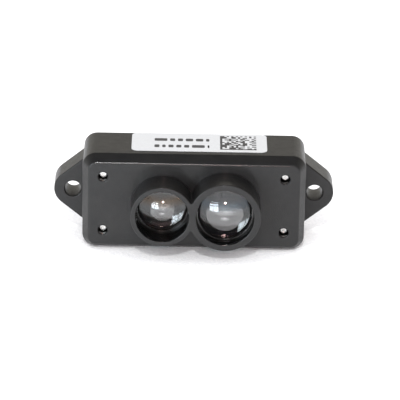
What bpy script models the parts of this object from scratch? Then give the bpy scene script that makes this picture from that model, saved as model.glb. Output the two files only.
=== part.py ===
"""A small solid-state distance sensor with one emitter lens and one receiver lens.

X runs along the module's length, -Y is the way it looks, and Z is up. The origin is the centre
of the flat rear face, midway between the two ear holes. Every number below is in millimetres, and
metres() turns it into Blender's unit when a mesh is made.
"""

import math

import bmesh
import bpy
from mathutils import Matrix, Vector

# ---------------------------------------------------------------- driving dimensions
BODY_W = 33.2
BODY_H = 15.0
BODY_D = 9.9
CORNER_R = 2.0
CHAMFER_SIDE = 0.95
CHAMFER_DEPTH = 1.57
REAR_EDGE_R = 0.25
FRONT_EDGE_R = 0.3

EAR_SPAN = 42.0
EAR_THICK = 4.43
EAR_PITCH = 36.35
EAR_HOLE_R = 1.25
EAR_HOLE_LIP = 0.15
EAR_ROOT_HALF = 4.92
EAR_EDGE_R = 0.2

BARREL_OUT = 4.7
EMITTER_X = -4.64
RECEIVER_X = 4.61
EMITTER_BARREL_R = 4.69
RECEIVER_BARREL_R = 5.31
EMITTER_BORE_R = 3.95
RECEIVER_BORE_R = 4.3
NOTCH_R = 0.25
RIM_EDGE_R = 0.15

BORE_LIP = 0.12
TUBE_INSET = 0.2

FRONT_WALL = 1.2
SIDE_WALL = 1.5
TOP_WALL = 1.55
CAVITY_CORNER_R = 1.0
BOSS_HALF = 1.75
BOSS_CORNER_R = 0.6
BOSS_SHIFT_X = 0.2
BOSS_SHIFT_Z = 0.3

COVER_WALL = 1.0
COVER_THICK = 1.2
COVER_FIT = 0.05
COVER_CORNER_R = 0.95
COVER_EDGE = 0.12
STANDOFF_R = 1.5
WELL_R = 1.45
WELL_LIP = 0.1
WELL_FLOOR = -1.1
WINDOW_HALF_X = 4.1
WINDOW_HALF_Z = 2.1
WINDOW_CORNER_R = 0.4

SCREW_X = 13.5
SCREW_Z = 4.3
SCREW_HOLE_R = 0.675
SCREW_HOLE_LIP = 0.2
SCREW_HOLE_KNEE = 0.06
SCREW_CLEAR_R = 0.9
SCREW_SHANK_R = 0.64
SCREW_TIP_DEPTH = 1.05
SCREW_TIP_R = 0.5
SCREW_TIP_EASE = 0.1
HEAD_R = 1.38
HEAD_CURVE = [(0.0, -0.3), (0.7, -0.33), (1.1, -0.42), (1.33, -0.62), (HEAD_R, -0.8)]
CROSS_MOUTH = (0.75, 0.17)
CROSS_FLOOR = (0.45, 0.1)
CROSS_MOUTH_Y = -0.3
CROSS_FLOOR_Y = -0.8
FIRST_SCREW_TURN = 0.4
SCREW_TURN_STEP = 0.55

EMITTER_SEAT = -10.2
EMITTER_APERTURE_R = 3.4
EMITTER_BALL_R = 4.0
EMITTER_APEX = -13.2
EMITTER_EDGE = 0.5
EMITTER_REAR_R = 3.3
EMITTER_REAR = -9.6
EMITTER_RING_THICK = 0.36
EMITTER_SEAL_IN = 3.5
EMITTER_SEAL_OUT = 4.4

RECEIVER_SEAT = -12.0
RECEIVER_APERTURE_R = 3.65
RECEIVER_BALL_R = 5.2
RECEIVER_APEX = -14.5
RECEIVER_EDGE = 0.58
RECEIVER_REAR_R = 3.6
RECEIVER_REAR = -11.0
RECEIVER_RING_THICK = 0.33
RECEIVER_SEAL_IN = 3.95
RECEIVER_SEAL_OUT = 4.75

LENS_FIT = 0.03
RING_FIT_OUT = 0.02
RING_FIT_IN = 0.04
FILTER_SEAT = -8.2
FILTER_POCKET_R = 3.9
FILTER_FIT = 0.04
FILTER_THICK = 0.48
SEAL_THICK = 0.38

LED_BASE_HALF = 1.72
LED_BASE_HIGH = 0.8
LED_DIE_HALF = 0.5
LED_DIE_THICK = 0.14
LED_DOME_R = 1.4
LED_RECESS_R = 0.8
LED_RECESS_DEEP = 0.2
SENSOR_HALF = 2.5
SENSOR_HIGH = 0.8
SENSOR_CORNER_R = 0.15
SENSOR_POCKET_X = 1.7
SENSOR_POCKET_Z = 1.3
SENSOR_POCKET_DEEP = 0.3
SENSOR_WINDOW_FIT = 0.05
SENSOR_WINDOW_SUNK = 0.03

BOARD_THICK = 0.8
BOARD_HALF_Z = 5.75
OPTICS_BOARD_HALF_X = 11.6
OPTICS_REAR = -4.6
CONTROLLER_HALF_X = 14.9
CONTROLLER_CORNER_R = 0.6
CONTROLLER_REAR = -2.2
BOARD_HOLE_R = 1.0

# parts on each board face: name, x from and to, z from and to, height, material, chamfer
ON_OPTICS_REAR = [
    ("led_driver", (-11.2, -8.3), (-1.45, 1.45), 1.0, "chip", 0.1),
    ("storage_capacitor_1", (-11.2, -8.0), (2.6, 4.2), 1.35, "capacitor", 0.1),
    ("storage_capacitor_2", (-11.2, -8.0), (-4.2, -2.6), 1.35, "capacitor", 0.1),
]
ON_CONTROLLER_FRONT = [
    ("power_inductor", (-0.8, 2.2), (-5.0, -2.0), 1.4, "chip", 0.2),
    ("voltage_regulator", (-0.8, 2.2), (2.0, 5.0), 0.9, "chip", 0.08),
    ("crystal", (3.6, 6.8), (2.4, 4.9), 0.8, "metal", 0.12),
    ("filter_capacitor_1", (3.6, 5.2), (-3.6, -2.8), 0.8, "capacitor", 0.08),
    ("filter_capacitor_2", (6.2, 7.8), (-3.6, -2.8), 0.8, "capacitor", 0.08),
    ("filter_capacitor_3", (8.8, 10.4), (-3.6, -2.8), 0.8, "capacitor", 0.08),
]
ON_CONTROLLER_REAR = [
    ("microcontroller", (1.0, 8.0), (-3.5, 3.5), 0.85, "chip", 0.08),
    ("flash_memory", (9.0, 12.8), (-2.0, 2.0), 0.75, "chip", 0.08),
    ("protection_diode", (-3.6, -1.4), (1.0, 2.3), 0.8, "chip", 0.08),
    ("ferrite_bead", (-3.4, -1.8), (-2.2, -1.4), 0.8, "chip", 0.08),
]
GAP_PAD_X = (-7.6, -1.6)
GAP_PAD_Z = (-2.6, 2.6)

LINK_X = 7.0
LINK_HALF_X = 3.7
LINK_HALF_Z = 1.5
LINK_CORNER_R = 0.2
LINK_BASE_HIGH = 0.58
TONGUE_HALF_X = 3.15
TONGUE_HALF_Z = 0.75
TONGUE_CORNER_R = 0.1
TONGUE_HIGH = 0.55
TONGUE_ROOM = 0.07
SOCKET_FLOOR_THICK = 0.3

CONNECTOR_X = -8.0
CONNECTOR_OUT = 1.4
CONNECTOR_HALF_X = 3.8
CONNECTOR_HALF_Z = 1.8
CONNECTOR_WALL = 0.5
CONNECTOR_CORNER_R = 0.15
CONNECTOR_INNER_CORNER_R = 0.1
CONNECTOR_FLOOR = -1.2
CONNECTOR_FOOT_HIGH = 0.23
CONNECTOR_FOOT_X = 2.9
KEY_X = 1.6
KEY_HALF = 0.5
KEY_REAR = 0.1
KEY_LOW = 0.8
PIN_PITCH = 1.25
PIN_COUNT = 4
PIN_HALF = 0.2
PIN_LEG = 0.2
PIN_TIP = 0.75
PIN_FOOT_Z = -2.7
PIN_ROOM = 0.03

LABEL_LEFT = -9.4
LABEL_RIGHT = 10.8
LABEL_REAR = -0.3
LABEL_FRONT = -7.2
LABEL_CORNER_R = 0.9
LABEL_THICK = 0.08
LABEL_LIFT = 0.005

GAP = 0.02  # between pieces that rest on each other
OVERLAP = 0.4  # how far joined shapes reach into each other
CLEAR = 1.0  # how far cutting shapes stand out of what they cut
SHARP_ANGLE = 35

# ---------------------------------------------------------------- values that follow from them
FRONT = -BODY_D
RIM = FRONT - BARREL_OUT
INNER_FRONT = FRONT + FRONT_WALL
HALF_W = BODY_W / 2
HALF_H = BODY_H / 2
EAR_FRONT = -EAR_THICK
EAR_X = EAR_PITCH / 2
EAR_TIP_R = EAR_SPAN / 2 - EAR_X
COVER_INNER = -COVER_THICK
CONTROLLER_FRONT = CONTROLLER_REAR - BOARD_THICK
OPTICS_FRONT = OPTICS_REAR - BOARD_THICK
TUBE_END = OPTICS_FRONT - SEAL_THICK - 2 * GAP
SCREW_SPOTS = [(x, z) for z in (SCREW_Z, -SCREW_Z) for x in (-SCREW_X, SCREW_X)]
EMITTER_STEPS = [
    (EMITTER_BORE_R, EMITTER_SEAT),
    (EMITTER_APERTURE_R, EMITTER_SEAT),
    (EMITTER_APERTURE_R, OPTICS_FRONT),
]
RECEIVER_STEPS = [
    (RECEIVER_BORE_R, RECEIVER_SEAT),
    (RECEIVER_APERTURE_R, RECEIVER_SEAT),
    (RECEIVER_APERTURE_R, FILTER_SEAT),
    (FILTER_POCKET_R, FILTER_SEAT),
    (FILTER_POCKET_R, OPTICS_FRONT),
]


# ---------------------------------------------------------------- materials
def finish(name, colour, roughness, metallic=0.0, transmission=0.0):
    material = bpy.data.materials.new(name)
    material.use_nodes = True
    shader = material.node_tree.nodes["Principled BSDF"]
    shader.inputs["Base Color"].default_value = (*colour, 1.0)
    shader.inputs["Roughness"].default_value = roughness
    shader.inputs["Metallic"].default_value = metallic
    shader.inputs["Transmission Weight"].default_value = transmission
    return material


def palette():
    return {
        "shell": finish("shell", (0.05, 0.05, 0.052), 0.5),
        "ring": finish("ring", (0.02, 0.02, 0.021), 0.3),
        "lens": finish("lens", (0.95, 0.96, 0.97), 0.02, 0.0, 1.0),
        "filter": finish("filter", (0.12, 0.1, 0.14), 0.05),
        "steel": finish("steel", (0.75, 0.74, 0.72), 0.25, 1.0),
        "label": finish("label", (0.84, 0.85, 0.87), 0.4),
        "board": finish("board", (0.01, 0.07, 0.035), 0.4),
        "black_board": finish("black_board", (0.01, 0.01, 0.01), 0.4),
        "chip": finish("chip", (0.025, 0.025, 0.028), 0.5),
        "ceramic": finish("ceramic", (0.06, 0.06, 0.06), 0.5),
        "metal": finish("metal", (0.7, 0.69, 0.66), 0.3, 1.0),
        "gold": finish("gold", (0.8, 0.58, 0.25), 0.3, 1.0),
        "socket": finish("socket", (0.72, 0.68, 0.58), 0.5),
        "foam": finish("foam", (0.03, 0.03, 0.03), 0.95),
        "pad": finish("pad", (0.35, 0.42, 0.5), 0.8),
        "capacitor": finish("capacitor", (0.45, 0.33, 0.2), 0.5),
    }


# ---------------------------------------------------------------- flat outlines
def arc(centre, radius, start, end, steps):
    """Points on a circle from angle start to angle end, both included."""
    points = []
    for i in range(steps + 1):
        angle = start + (end - start) * i / steps
        points.append((centre[0] + radius * math.cos(angle), centre[1] + radius * math.sin(angle)))
    return points


def rounded_rectangle(half_a, half_b, radius, steps=6, centre=(0.0, 0.0)):
    points = []
    corners = ((1, 1, 0.0), (-1, 1, 0.5), (-1, -1, 1.0), (1, -1, 1.5))
    for sign_a, sign_b, turn in corners:
        middle = (
            centre[0] + sign_a * (half_a - radius),
            centre[1] + sign_b * (half_b - radius),
        )
        points += arc(middle, radius, turn * math.pi, (turn + 0.5) * math.pi, steps)
    return points


def body_outline(inset):
    return rounded_rectangle(HALF_W - inset, HALF_H - inset, CORNER_R - inset)


def ear_outline(inset, side):
    """One ear: slanted edges that run tangent into the round tip. It starts inside the side wall."""
    root_x = HALF_W - 2 * OVERLAP
    away = math.hypot(EAR_X - HALF_W, EAR_ROOT_HALF)
    fall = math.atan2(EAR_ROOT_HALF, EAR_X - HALF_W) - math.asin(EAR_TIP_R / away)
    root_z = EAR_ROOT_HALF + (HALF_W - root_x) * math.tan(fall) - inset / math.cos(fall)
    tip = arc((EAR_X, 0.0), EAR_TIP_R - inset, fall - math.pi / 2, math.pi / 2 - fall, 14)
    outline = [(root_x, -root_z)] + tip + [(root_x, root_z)]
    return [(side * x, z) for x, z in outline]


def barrel_outline(inset):
    """Two circles that meet, with the sharp notch between them rounded."""
    between = RECEIVER_X - EMITTER_X
    near = EMITTER_BARREL_R + NOTCH_R
    far = RECEIVER_BARREL_R + NOTCH_R
    along = (between**2 + near**2 - far**2) / (2 * between)
    up = math.sqrt(near**2 - along**2)
    left = math.atan2(up, along)
    right = math.atan2(up, along - between)
    into = NOTCH_R + inset
    down_left = math.atan2(-up, -along)
    down_right = math.atan2(-up, between - along)
    notch_x = EMITTER_X + along
    points = arc((EMITTER_X, 0.0), EMITTER_BARREL_R - inset, left, math.tau - left, 34)
    points += arc((notch_x, -up), into, -down_left, -down_right, 3)[1:-1]
    points += arc((RECEIVER_X, 0.0), RECEIVER_BARREL_R - inset, -right, right, 36)
    points += arc((notch_x, up), into, down_right, down_left, 3)[1:-1]
    return points


def eased_edge(radius, steps=2):
    """Inset and depth along a quarter round, from the flat face to the straight side."""
    angles = [math.pi / 2 * i / steps for i in range(steps + 1)]
    return [(radius * (1 - math.sin(a)), radius * (1 - math.cos(a))) for a in angles]


# ---------------------------------------------------------------- solids
def metres(x, y, z):
    return Vector((x, y, z)) * 0.001


def new_object(name, mesh_builder, material=None):
    bmesh.ops.recalc_face_normals(mesh_builder, faces=mesh_builder.faces)
    mesh = bpy.data.meshes.new(name)
    mesh_builder.to_mesh(mesh)
    mesh_builder.free()
    if material:
        mesh.materials.append(material)
    mesh.shade_smooth()
    mesh.set_sharp_from_angle(angle=math.radians(SHARP_ANGLE))
    thing = bpy.data.objects.new(name, mesh)
    bpy.context.scene.collection.objects.link(thing)
    return thing


def loft(name, sections, material=None):
    """A solid through flat outlines. Each section is its depth y and its (x, z) points."""
    builder = bmesh.new()
    rings = [[builder.verts.new(metres(x, y, z)) for x, z in outline] for y, outline in sections]
    count = len(rings[0])
    for first, second in zip(rings, rings[1:]):
        for i in range(count):
            j = (i + 1) % count
            builder.faces.new((first[i], first[j], second[j], second[i]))
    builder.faces.new(rings[0])
    builder.faces.new(rings[-1][::-1])
    return new_object(name, builder, material)


def turned(name, profile, centre, segments, material=None, closed=False):
    """A solid of revolution about the line along Y through centre. The profile is (radius, y)."""
    builder = bmesh.new()
    rings = []
    for radius, y in profile:
        count = segments if radius > 0 else 1
        ring = []
        for i in range(count):
            angle = math.tau * i / segments
            x = centre[0] + radius * math.cos(angle)
            z = centre[1] + radius * math.sin(angle)
            ring.append(builder.verts.new(metres(x, y, z)))
        rings.append(ring)
    pairs = list(zip(rings, rings[1:]))
    if closed:
        pairs.append((rings[-1], rings[0]))
    for first, second in pairs:
        for i in range(segments):
            j = (i + 1) % segments
            corners = (
                first[i % len(first)],
                first[j % len(first)],
                second[j % len(second)],
                second[i % len(second)],
            )
            builder.faces.new(list(dict.fromkeys(corners)))
    return new_object(name, builder, material)


def block(name, low, high, material=None, ease=0.0):
    """A box from its low corner to its high corner, its edges chamfered by ease."""
    builder = bmesh.new()
    size = [high[k] - low[k] for k in range(3)]
    middle = [(high[k] + low[k]) / 2 for k in range(3)]
    bmesh.ops.create_cube(builder, size=1.0)
    bmesh.ops.scale(builder, vec=metres(*size), verts=builder.verts)
    bmesh.ops.translate(builder, vec=metres(*middle), verts=builder.verts)
    if ease:
        bmesh.ops.bevel(builder, geom=builder.edges, offset=ease * 0.001, segments=1, affect="EDGES")
    return new_object(name, builder, material)


def combine(target, tool, operation):
    """Joins or cuts target with tool, which then stays only as a hidden guide."""
    modifier = target.modifiers.new(tool.name, "BOOLEAN")
    modifier.operation = operation
    modifier.object = tool
    tool.hide_render = True
    tool.display_type = "WIRE"


def ball_front(centre_y, radius, last_r, steps):
    """(radius, y) points on the front of a ball, from its apex out to last_r."""
    end = math.asin(last_r / radius)
    angles = [end * i / steps for i in range(steps + 1)]
    return [(radius * math.sin(a), centre_y - radius * math.cos(a)) for a in angles]


# ---------------------------------------------------------------- housing
def add_front_housing(material):
    rear = [(-depth, inset) for inset, depth in eased_edge(REAR_EDGE_R)]
    slope = math.atan2(CHAMFER_SIDE, CHAMFER_DEPTH)
    ease = FRONT_EDGE_R * math.tan(slope / 2)
    front = [
        (FRONT + CHAMFER_DEPTH + ease, 0.0),
        (FRONT + CHAMFER_DEPTH - ease * math.cos(slope), ease * math.sin(slope)),
        (FRONT + ease * math.cos(slope), CHAMFER_SIDE - ease * math.sin(slope)),
        (FRONT, CHAMFER_SIDE + ease),
    ]
    sections = [(y, body_outline(inset)) for y, inset in rear + front]
    housing = loft("front_housing", sections, material)

    for side, word in ((-1, "left"), (1, "right")):
        steps = eased_edge(EAR_EDGE_R)
        depths = [(-depth, inset) for inset, depth in steps]
        depths += [(EAR_FRONT + depth, inset) for inset, depth in reversed(steps)]
        ear = loft(f"guide_ear_{word}", [(y, ear_outline(inset, side)) for y, inset in depths])
        combine(housing, ear, "UNION")

    rim = [(RIM + depth, inset) for inset, depth in eased_edge(RIM_EDGE_R)]
    barrel_sections = [(y, barrel_outline(inset)) for y, inset in rim]
    barrel_sections.append((INNER_FRONT - OVERLAP, barrel_outline(0.0)))
    combine(housing, loft("guide_barrels", barrel_sections), "UNION")

    cavity = rounded_rectangle(HALF_W - SIDE_WALL, HALF_H - TOP_WALL, CAVITY_CORNER_R, 4)
    seat = rounded_rectangle(HALF_W - COVER_WALL, HALF_H - COVER_WALL, CAVITY_CORNER_R, 4)
    hollow = [(INNER_FRONT, cavity), (COVER_INNER, cavity), (COVER_INNER, seat), (CLEAR, seat)]
    combine(housing, loft("guide_hollow", hollow), "DIFFERENCE")

    tube = barrel_outline(TUBE_INSET)
    tubes = [(INNER_FRONT - OVERLAP, tube), (TUBE_END, tube)]
    combine(housing, loft("guide_tubes", tubes), "UNION")
    for i, (x, z) in enumerate(SCREW_SPOTS, 1):
        out = (x + math.copysign(BOSS_SHIFT_X, x), z + math.copysign(BOSS_SHIFT_Z, z))
        outline = rounded_rectangle(BOSS_HALF, BOSS_HALF, BOSS_CORNER_R, 3, out)
        boss = [(INNER_FRONT - OVERLAP, outline), (CONTROLLER_FRONT - GAP, outline)]
        combine(housing, loft(f"guide_boss_{i}", boss), "UNION")

    combine(housing, bore_cutter("guide_emitter_bore", EMITTER_X, EMITTER_STEPS), "DIFFERENCE")
    combine(housing, bore_cutter("guide_receiver_bore", RECEIVER_X, RECEIVER_STEPS), "DIFFERENCE")
    for i, spot in enumerate(SCREW_SPOTS, 1):
        mouth = SCREW_HOLE_R + SCREW_HOLE_LIP
        hole = [(0.0, FRONT - CLEAR), (mouth + CLEAR, FRONT - CLEAR), (mouth, FRONT)]
        hole += [(SCREW_HOLE_R + SCREW_HOLE_KNEE, FRONT + SCREW_HOLE_KNEE)]
        hole += [(SCREW_HOLE_R, FRONT + SCREW_HOLE_LIP), (SCREW_HOLE_R, COVER_INNER), (0.0, COVER_INNER)]
        combine(housing, turned(f"guide_screw_hole_{i}", hole, spot, 16), "DIFFERENCE")
    for side, word in ((-1, "left"), (1, "right")):
        wide = EAR_HOLE_R + EAR_HOLE_LIP
        hole = [(0.0, CLEAR), (wide, CLEAR), (wide, 0.0), (EAR_HOLE_R, -EAR_HOLE_LIP)]
        hole += [(EAR_HOLE_R, EAR_FRONT + EAR_HOLE_LIP), (wide, EAR_FRONT)]
        hole += [(wide, EAR_FRONT - CLEAR), (0.0, EAR_FRONT - CLEAR)]
        spot = (side * EAR_X, 0.0)
        combine(housing, turned(f"guide_ear_hole_{word}", hole, spot, 32), "DIFFERENCE")


def bore_cutter(name, x, steps):
    """A stepped hole along a lens axis, flared a little where it meets the rim."""
    bore_r = steps[0][0]
    profile = [(0.0, RIM - CLEAR), (bore_r + BORE_LIP + CLEAR, RIM - CLEAR), (bore_r, RIM + BORE_LIP)]
    profile += steps + [(0.0, steps[-1][1])]
    return turned(name, profile, (x, 0.0), 48)


def add_rear_cover(material):
    half_a = HALF_W - COVER_WALL - COVER_FIT
    half_b = HALF_H - COVER_WALL - COVER_FIT
    plate = rounded_rectangle(half_a, half_b, COVER_CORNER_R, 4)
    eased = rounded_rectangle(half_a - COVER_EDGE, half_b - COVER_EDGE, COVER_CORNER_R - COVER_EDGE, 4)
    sections = [(0.0, eased), (-COVER_EDGE, plate), (COVER_INNER + GAP, plate)]
    cover = loft("rear_cover", sections, material)
    middle = -COVER_THICK / 2
    end = CONTROLLER_REAR + GAP
    standoff = [(0.0, middle), (STANDOFF_R, middle), (STANDOFF_R, end), (0.0, end)]
    for i, spot in enumerate(SCREW_SPOTS, 1):
        combine(cover, turned(f"guide_standoff_{i}", standoff, spot, 16), "UNION")
    wide = WELL_R + WELL_LIP
    well = [(0.0, CLEAR), (wide + CLEAR, CLEAR), (wide, 0.0), (WELL_R, -WELL_LIP)]
    well += [(WELL_R, WELL_FLOOR), (SCREW_CLEAR_R, WELL_FLOOR)]
    well += [(SCREW_CLEAR_R, CONTROLLER_FRONT), (0.0, CONTROLLER_FRONT)]
    for i, spot in enumerate(SCREW_SPOTS, 1):
        combine(cover, turned(f"guide_well_{i}", well, spot, 20), "DIFFERENCE")
    window = rounded_rectangle(WINDOW_HALF_X, WINDOW_HALF_Z, WINDOW_CORNER_R, 3, (CONNECTOR_X, 0.0))
    cutter = loft("guide_window", [(CLEAR, window), (COVER_INNER - CLEAR, window)])
    combine(cover, cutter, "DIFFERENCE")


def screw_mesh(material):
    """One pan-head screw along Y, its head to the rear and a cross recess in it."""
    under = WELL_FLOOR + GAP
    tip = FRONT + SCREW_TIP_DEPTH
    profile = HEAD_CURVE + [(HEAD_R, under), (SCREW_SHANK_R, under)]
    profile += [(SCREW_SHANK_R, tip + SCREW_TIP_EASE), (SCREW_TIP_R, tip), (0.0, tip)]
    screw = turned("cover_screw_1", profile, (0.0, 0.0), 16, material)
    outer = cross_outline(*CROSS_MOUTH)
    inner = cross_outline(*CROSS_FLOOR)
    cross = loft("guide_cross", [(CLEAR, outer), (CROSS_MOUTH_Y, outer), (CROSS_FLOOR_Y, inner)])
    combine(screw, cross, "DIFFERENCE")
    shape = bpy.data.meshes.new_from_object(screw.evaluated_get(bpy.context.evaluated_depsgraph_get()))
    screw.modifiers.clear()
    bpy.data.objects.remove(cross)
    screw.data = shape
    return screw


def cross_outline(reach, half):
    quarter = [(reach, -half), (reach, half), (half, half)]
    points = []
    for turn in range(4):
        c = round(math.cos(turn * math.pi / 2))
        s = round(math.sin(turn * math.pi / 2))
        points += [(a * c - b * s, a * s + b * c) for a, b in quarter]
    return points


def add_cover_screws(material):
    first = screw_mesh(material)
    screws = [first]
    for i in range(2, len(SCREW_SPOTS) + 1):
        copy = bpy.data.objects.new(f"cover_screw_{i}", first.data)
        bpy.context.scene.collection.objects.link(copy)
        screws.append(copy)
    for turn, (screw, (x, z)) in enumerate(zip(screws, SCREW_SPOTS)):
        screw.location = metres(x, 0.0, z)
        screw.rotation_euler = (0.0, FIRST_SCREW_TURN + SCREW_TURN_STEP * turn, 0.0)


# ---------------------------------------------------------------- optics
def add_lens(name, x, bore_r, seat, ball_r, apex, edge, rear_r, rear, material):
    """A glass lens: a ball front, a straight flange on the seat and a flat rear on a shallow boss."""
    flange_r = bore_r - LENS_FIT
    seat_y = seat - GAP
    flange_front = seat_y - edge
    centre = apex + ball_r
    dome_r = math.sqrt(ball_r**2 - (centre - flange_front) ** 2)
    profile = ball_front(centre, ball_r, dome_r, 6)
    profile += [(flange_r, flange_front), (flange_r, seat_y)]
    profile += [(rear_r, seat_y), (rear_r, rear), (0.0, rear)]
    turned(name, profile, (x, 0.0), 32, material)
    return flange_front, dome_r


def add_lens_ring(name, x, bore_r, flange_front, dome_r, thick, material):
    outer = bore_r - RING_FIT_OUT
    inner = dome_r + RING_FIT_IN
    low = flange_front - GAP
    high = low - thick
    profile = [(outer, low), (inner, low), (inner, high), (outer, high)]
    turned(name, profile, (x, 0.0), 32, material, closed=True)


def add_seal(name, x, inner, outer, material):
    low = OPTICS_FRONT - GAP
    high = low - SEAL_THICK
    profile = [(outer, low), (inner, low), (inner, high), (outer, high)]
    turned(name, profile, (x, 0.0), 24, material, closed=True)


def add_optics(materials):
    flange, dome = add_lens(
        "emitter_lens", EMITTER_X, EMITTER_BORE_R, EMITTER_SEAT,
        EMITTER_BALL_R, EMITTER_APEX, EMITTER_EDGE, EMITTER_REAR_R, EMITTER_REAR, materials["lens"],
    )
    add_lens_ring(
        "emitter_lens_ring", EMITTER_X, EMITTER_BORE_R, flange, dome,
        EMITTER_RING_THICK, materials["ring"],
    )
    flange, dome = add_lens(
        "receiver_lens", RECEIVER_X, RECEIVER_BORE_R, RECEIVER_SEAT,
        RECEIVER_BALL_R, RECEIVER_APEX, RECEIVER_EDGE, RECEIVER_REAR_R, RECEIVER_REAR, materials["lens"],
    )
    add_lens_ring(
        "receiver_lens_ring", RECEIVER_X, RECEIVER_BORE_R, flange, dome,
        RECEIVER_RING_THICK, materials["ring"],
    )

    filter_r = FILTER_POCKET_R - FILTER_FIT
    filter_front = FILTER_SEAT + GAP
    filter_rear = filter_front + FILTER_THICK
    glass = [(0.0, filter_front), (filter_r, filter_front), (filter_r, filter_rear), (0.0, filter_rear)]
    turned("receiver_filter", glass, (RECEIVER_X, 0.0), 32, materials["filter"])
    add_seal("emitter_seal", EMITTER_X, EMITTER_SEAL_IN, EMITTER_SEAL_OUT, materials["foam"])
    add_seal("receiver_seal", RECEIVER_X, RECEIVER_SEAL_IN, RECEIVER_SEAL_OUT, materials["foam"])


def centred_block(name, x, half, top, base, material):
    """A square block about a lens axis, from its front at y top to its rear at y base."""
    block(name, (x - half, top, -half), (x + half, base, half), material)


def add_emitter(materials):
    base = OPTICS_FRONT - GAP
    top = base - LED_BASE_HIGH
    centred_block("emitter_base", EMITTER_X, LED_BASE_HALF, top, base, materials["ceramic"])
    die = top - GAP
    centred_block("emitter_die", EMITTER_X, LED_DIE_HALF, die - LED_DIE_THICK, die, materials["gold"])
    profile = ball_front(die, LED_DOME_R, LED_DOME_R, 4)
    recess = die - LED_RECESS_DEEP
    profile += [(LED_RECESS_R, die), (LED_RECESS_R, recess), (0.0, recess)]
    turned("emitter_dome", profile, (EMITTER_X, 0.0), 16, materials["lens"])


def add_sensor(materials):
    base = OPTICS_FRONT - GAP
    top = base - SENSOR_HIGH
    pocket = top + SENSOR_POCKET_DEEP
    spot = (RECEIVER_X, 0.0)
    outer = rounded_rectangle(SENSOR_HALF, SENSOR_HALF, SENSOR_CORNER_R, 1, spot)
    inner = rounded_rectangle(SENSOR_POCKET_X, SENSOR_POCKET_Z, SENSOR_CORNER_R, 1, spot)
    sections = [(base, outer), (top, outer), (top, inner), (pocket, inner)]
    loft("sensor_package", sections, materials["chip"])
    half_x = SENSOR_POCKET_X - SENSOR_WINDOW_FIT
    half_z = SENSOR_POCKET_Z - SENSOR_WINDOW_FIT
    low = (RECEIVER_X - half_x, top + SENSOR_WINDOW_SUNK, -half_z)
    high = (RECEIVER_X + half_x, pocket - GAP, half_z)
    block("sensor_window", low, high, materials["filter"])


# ---------------------------------------------------------------- electronics
def add_boards(materials):
    low = (-OPTICS_BOARD_HALF_X, OPTICS_FRONT, -BOARD_HALF_Z)
    high = (OPTICS_BOARD_HALF_X, OPTICS_REAR, BOARD_HALF_Z)
    block("optics_board", low, high, materials["black_board"])
    outline = rounded_rectangle(CONTROLLER_HALF_X, BOARD_HALF_Z, CONTROLLER_CORNER_R, 3)
    sections = [(CONTROLLER_FRONT, outline), (CONTROLLER_REAR, outline)]
    board = loft("controller_board", sections, materials["board"])
    near = CONTROLLER_REAR + CLEAR
    far = CONTROLLER_FRONT - CLEAR
    hole = [(0.0, near), (BOARD_HOLE_R, near), (BOARD_HOLE_R, far), (0.0, far)]
    for i, spot in enumerate(SCREW_SPOTS, 1):
        combine(board, turned(f"guide_board_hole_{i}", hole, spot, 16), "DIFFERENCE")


def stand_on(face, facing, name, x, z, height, material, ease=0.0):
    """A box on a board: face is the board's surface, facing the way the part stands out of it."""
    near = face + facing * GAP
    far = near + facing * height
    low = (x[0], min(near, far), z[0])
    high = (x[1], max(near, far), z[1])
    block(name, low, high, material, ease)


def add_board_parts(materials):
    faces = (
        (OPTICS_REAR, 1, ON_OPTICS_REAR),
        (CONTROLLER_FRONT, -1, ON_CONTROLLER_FRONT),
        (CONTROLLER_REAR, 1, ON_CONTROLLER_REAR),
    )
    for face, facing, parts in faces:
        for name, x, z, height, slot, ease in parts:
            stand_on(face, facing, name, x, z, height, materials[slot], ease)
    pad_height = CONTROLLER_FRONT - OPTICS_REAR - 2 * GAP
    stand_on(OPTICS_REAR, 1, "gap_pad", GAP_PAD_X, GAP_PAD_Z, pad_height, materials["pad"])


def add_board_link(material):
    """A plug on the optics board whose tongue sits in the pocket of a socket on the controller board."""
    spot = (LINK_X, 0.0)
    room_x = TONGUE_HALF_X + TONGUE_ROOM
    room_z = TONGUE_HALF_Z + TONGUE_ROOM
    wide = rounded_rectangle(LINK_HALF_X, LINK_HALF_Z, LINK_CORNER_R, 1, spot)
    tongue = rounded_rectangle(TONGUE_HALF_X, TONGUE_HALF_Z, TONGUE_CORNER_R, 1, spot)
    pocket = rounded_rectangle(room_x, room_z, TONGUE_CORNER_R, 1, spot)
    base = OPTICS_REAR + GAP
    meet = base + LINK_BASE_HIGH
    plug = [(base, wide), (meet, wide), (meet, tongue), (meet + TONGUE_HIGH, tongue)]
    loft("board_plug", plug, material)
    foot = CONTROLLER_FRONT - GAP
    mouth = meet + GAP
    socket = [(foot, wide), (mouth, wide), (mouth, pocket), (foot - SOCKET_FLOOR_THICK, pocket)]
    loft("board_socket", socket, material)


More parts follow.
